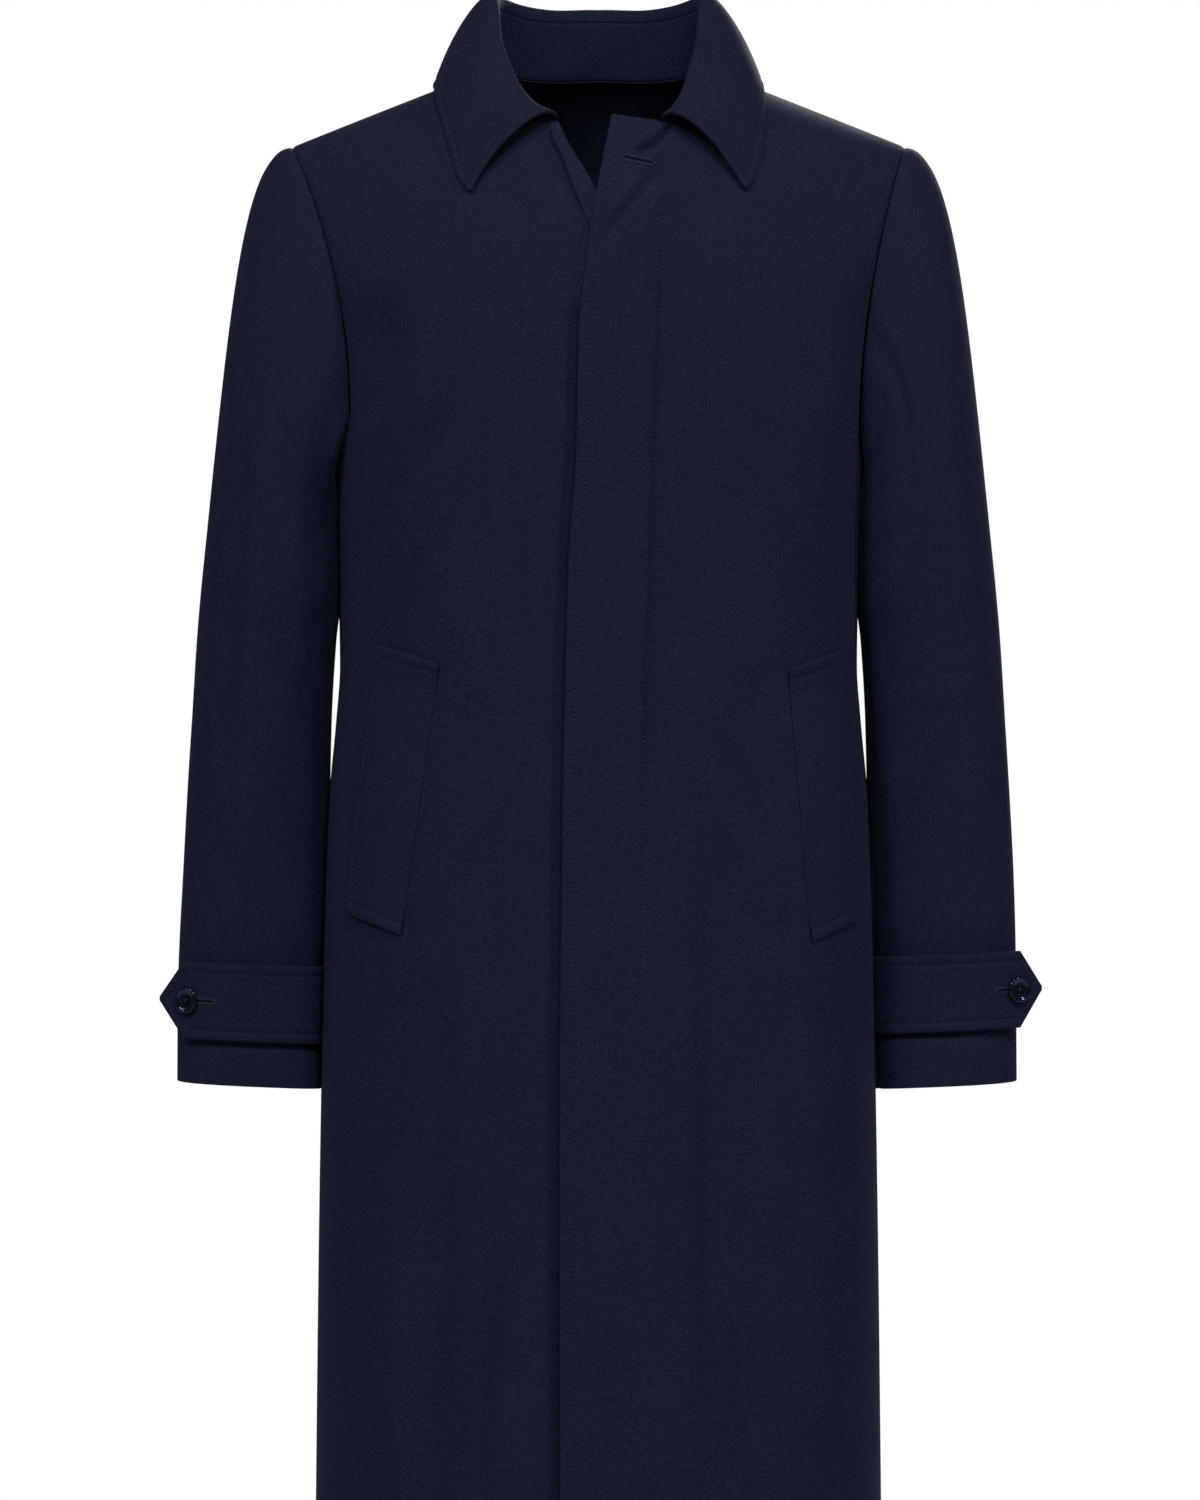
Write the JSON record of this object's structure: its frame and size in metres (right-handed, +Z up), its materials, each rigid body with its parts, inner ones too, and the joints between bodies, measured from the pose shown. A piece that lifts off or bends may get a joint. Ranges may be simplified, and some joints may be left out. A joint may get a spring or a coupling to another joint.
{
  "type": "overcoat",
  "caption": "Fly-front wool overcoat with a turned-down collar, slanted welt pockets and buttoned cuff tabs, hollow and filled out as worn.",
  "frame": {"origin": "the middle of the neck hole, level with the points where the shoulder seams meet the collar, where the wearer holds the coat up", "axes": "+Z up along the coat's length, +X to the wearer's left, the front faces -Y"},
  "size_m": [0.6345, 0.2768, 1.1498],
  "materials": {
    "wool": "dark navy wool, fine twill with a short nap and a slight sheen",
    "button": "polished, near-black navy"
  },
  "bodies": {
    "root": {"front_left": "wool", "front_right": "wool", "front_turnback": "wool", "back_left": "wool", "back_right": "wool", "sleeve_top_left": "wool", "sleeve_top_right": "wool", "sleeve_under_left": "wool", "sleeve_under_right": "wool", "collar_stand": "wool", "collar_fall": "wool", "pocket_welt_left": "wool", "pocket_welt_right": "wool", "cuff_tab_left": "wool", "cuff_tab_right": "wool", "cuff_button_left": "button", "cuff_button_right": "button"}
  },
  "joints": []
}
